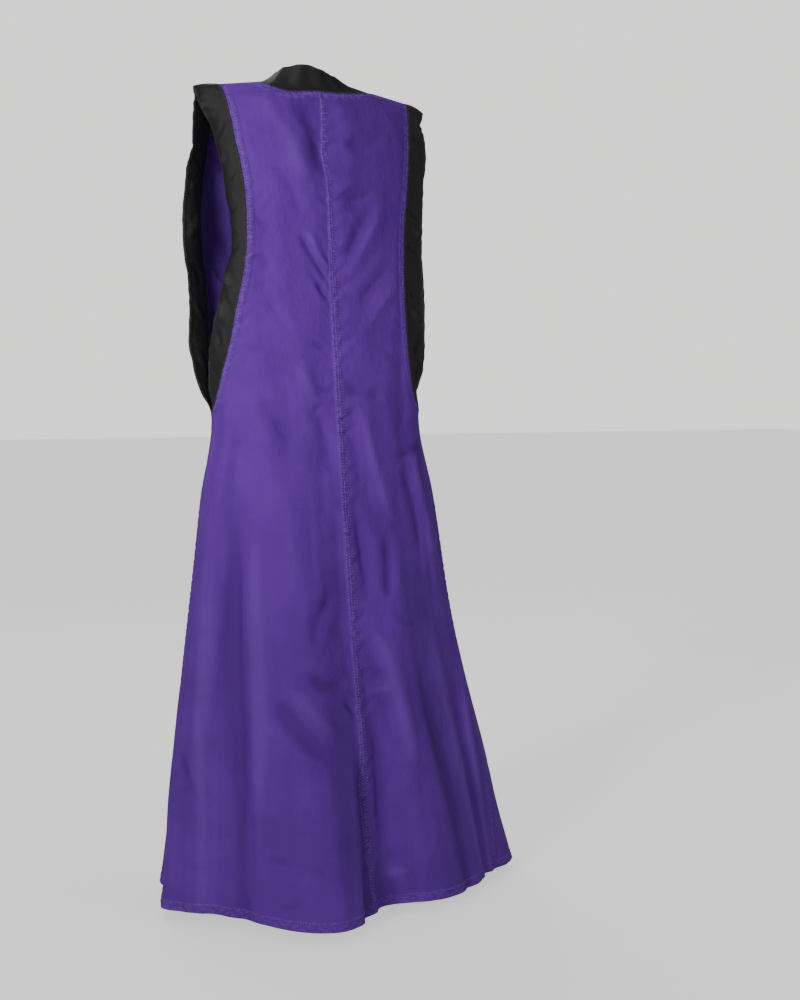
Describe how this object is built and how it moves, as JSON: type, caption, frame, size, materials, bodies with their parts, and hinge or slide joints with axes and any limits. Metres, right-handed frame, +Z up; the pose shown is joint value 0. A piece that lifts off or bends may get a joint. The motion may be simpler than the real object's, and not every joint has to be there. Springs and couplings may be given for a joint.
{
  "type": "medieval dress",
  "caption": "Sleeveless long over-dress with deep open armholes, edged with wide contrasting bands at the armholes and neck, hollow as worn.",
  "frame": {"origin": "on the line of the shoulders, midway between them at the root of the neck, where the wearer carries the dress", "axes": "+X the wearer's left, +Y the back, +Z up"},
  "size_m": [0.6906, 0.5049, 1.4287],
  "materials": {
    "purple_cotton": "plain-woven matt cotton, lightly creased",
    "black_cotton": "plain-woven black cotton with a faint sheen"
  },
  "bodies": {
    "root": {"back_left_upper": "purple_cotton", "back_left_skirt": "purple_cotton", "back_right_upper": "purple_cotton", "back_right_skirt": "purple_cotton", "front_left_upper": "purple_cotton", "front_left_skirt": "purple_cotton", "front_right_upper": "purple_cotton", "front_right_skirt": "purple_cotton", "left_back_band_upper": "black_cotton", "left_back_band_lower": "black_cotton", "left_front_band": "black_cotton", "right_back_band_upper": "black_cotton", "right_back_band_lower": "black_cotton", "right_front_band": "black_cotton", "neck_band": "black_cotton"}
  },
  "joints": []
}
